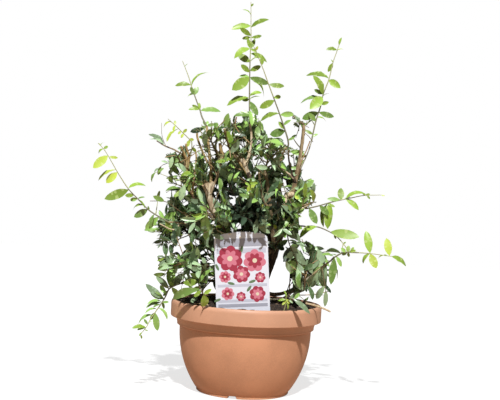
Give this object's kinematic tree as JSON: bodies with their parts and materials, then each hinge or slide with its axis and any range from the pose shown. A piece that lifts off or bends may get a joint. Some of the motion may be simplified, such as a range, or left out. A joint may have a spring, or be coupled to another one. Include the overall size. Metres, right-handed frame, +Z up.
{
  "type": "potted pomegranate tree",
  "caption": "Young pomegranate tree with a short leaning trunk, forking boughs, narrow glossy leaves and long fresh shoots, in a round footed bowl with a plant card in the soil.",
  "frame": {"origin": "centre of the pot's underside, in the plane of its foot ring", "axes": "+Z up, the plant's height; -Y the front, which the plant card faces; +X to the right seen from the front"},
  "size_m": [0.6133, 0.3355, 0.7523],
  "materials": {
    "pot": "smooth matte terracotta colour",
    "soil": "dark fibrous compost",
    "card": "satin printed card",
    "trunk": "fissured bark",
    "bough": "fine bark",
    "foliage": "glossy leaf"
  },
  "bodies": {
    "root": {"pot": "pot", "soil": "soil", "plant_card": "card", "trunk": "trunk", "bough_right": "bough", "bough_centre": "bough", "bough_left": "bough", "bough_inner": "bough", "bough_leader": "bough", "bough_left_upper": "bough", "bough_left_outer": "bough", "bough_left_far": "bough", "bough_left_mid": "bough", "bough_left_low": "bough", "bough_left_droop": "bough", "bough_front_left": "bough", "bough_front": "bough", "bough_left_inner": "bough", "bough_middle": "bough", "bough_front_right": "bough", "bough_right_low": "bough", "bough_right_shoot": "bough", "bough_right_arch": "bough", "bough_right_mid": "bough", "bough_right_fork": "bough", "bough_right_spur": "bough", "bough_back_low": "bough", "bough_back_left": "bough", "bough_back_high": "bough", "bough_back": "bough", "bough_back_right": "bough", "bough_right_back_low": "bough", "foliage_leader": "foliage", "foliage_leader_right": "foliage", "foliage_shoot_right": "foliage", "foliage_shoot_left": "foliage", "foliage_left_top": "foliage", "foliage_far_left": "foliage", "foliage_left": "foliage", "foliage_left_high": "foliage", "foliage_left_inner": "foliage", "foliage_left_low": "foliage", "foliage_left_droop": "foliage", "foliage_front_left": "foliage", "foliage_front": "foliage", "foliage_inner": "foliage", "foliage_centre": "foliage", "foliage_right_high": "foliage", "foliage_middle": "foliage", "foliage_front_right": "foliage", "foliage_far_right": "foliage", "foliage_right": "foliage", "foliage_right_low": "foliage", "foliage_right_shoot": "foliage", "foliage_back_low": "foliage", "foliage_back_left": "foliage", "foliage_back_high": "foliage", "foliage_back": "foliage", "foliage_back_right": "foliage", "foliage_right_back_low": "foliage"}
  },
  "joints": []
}
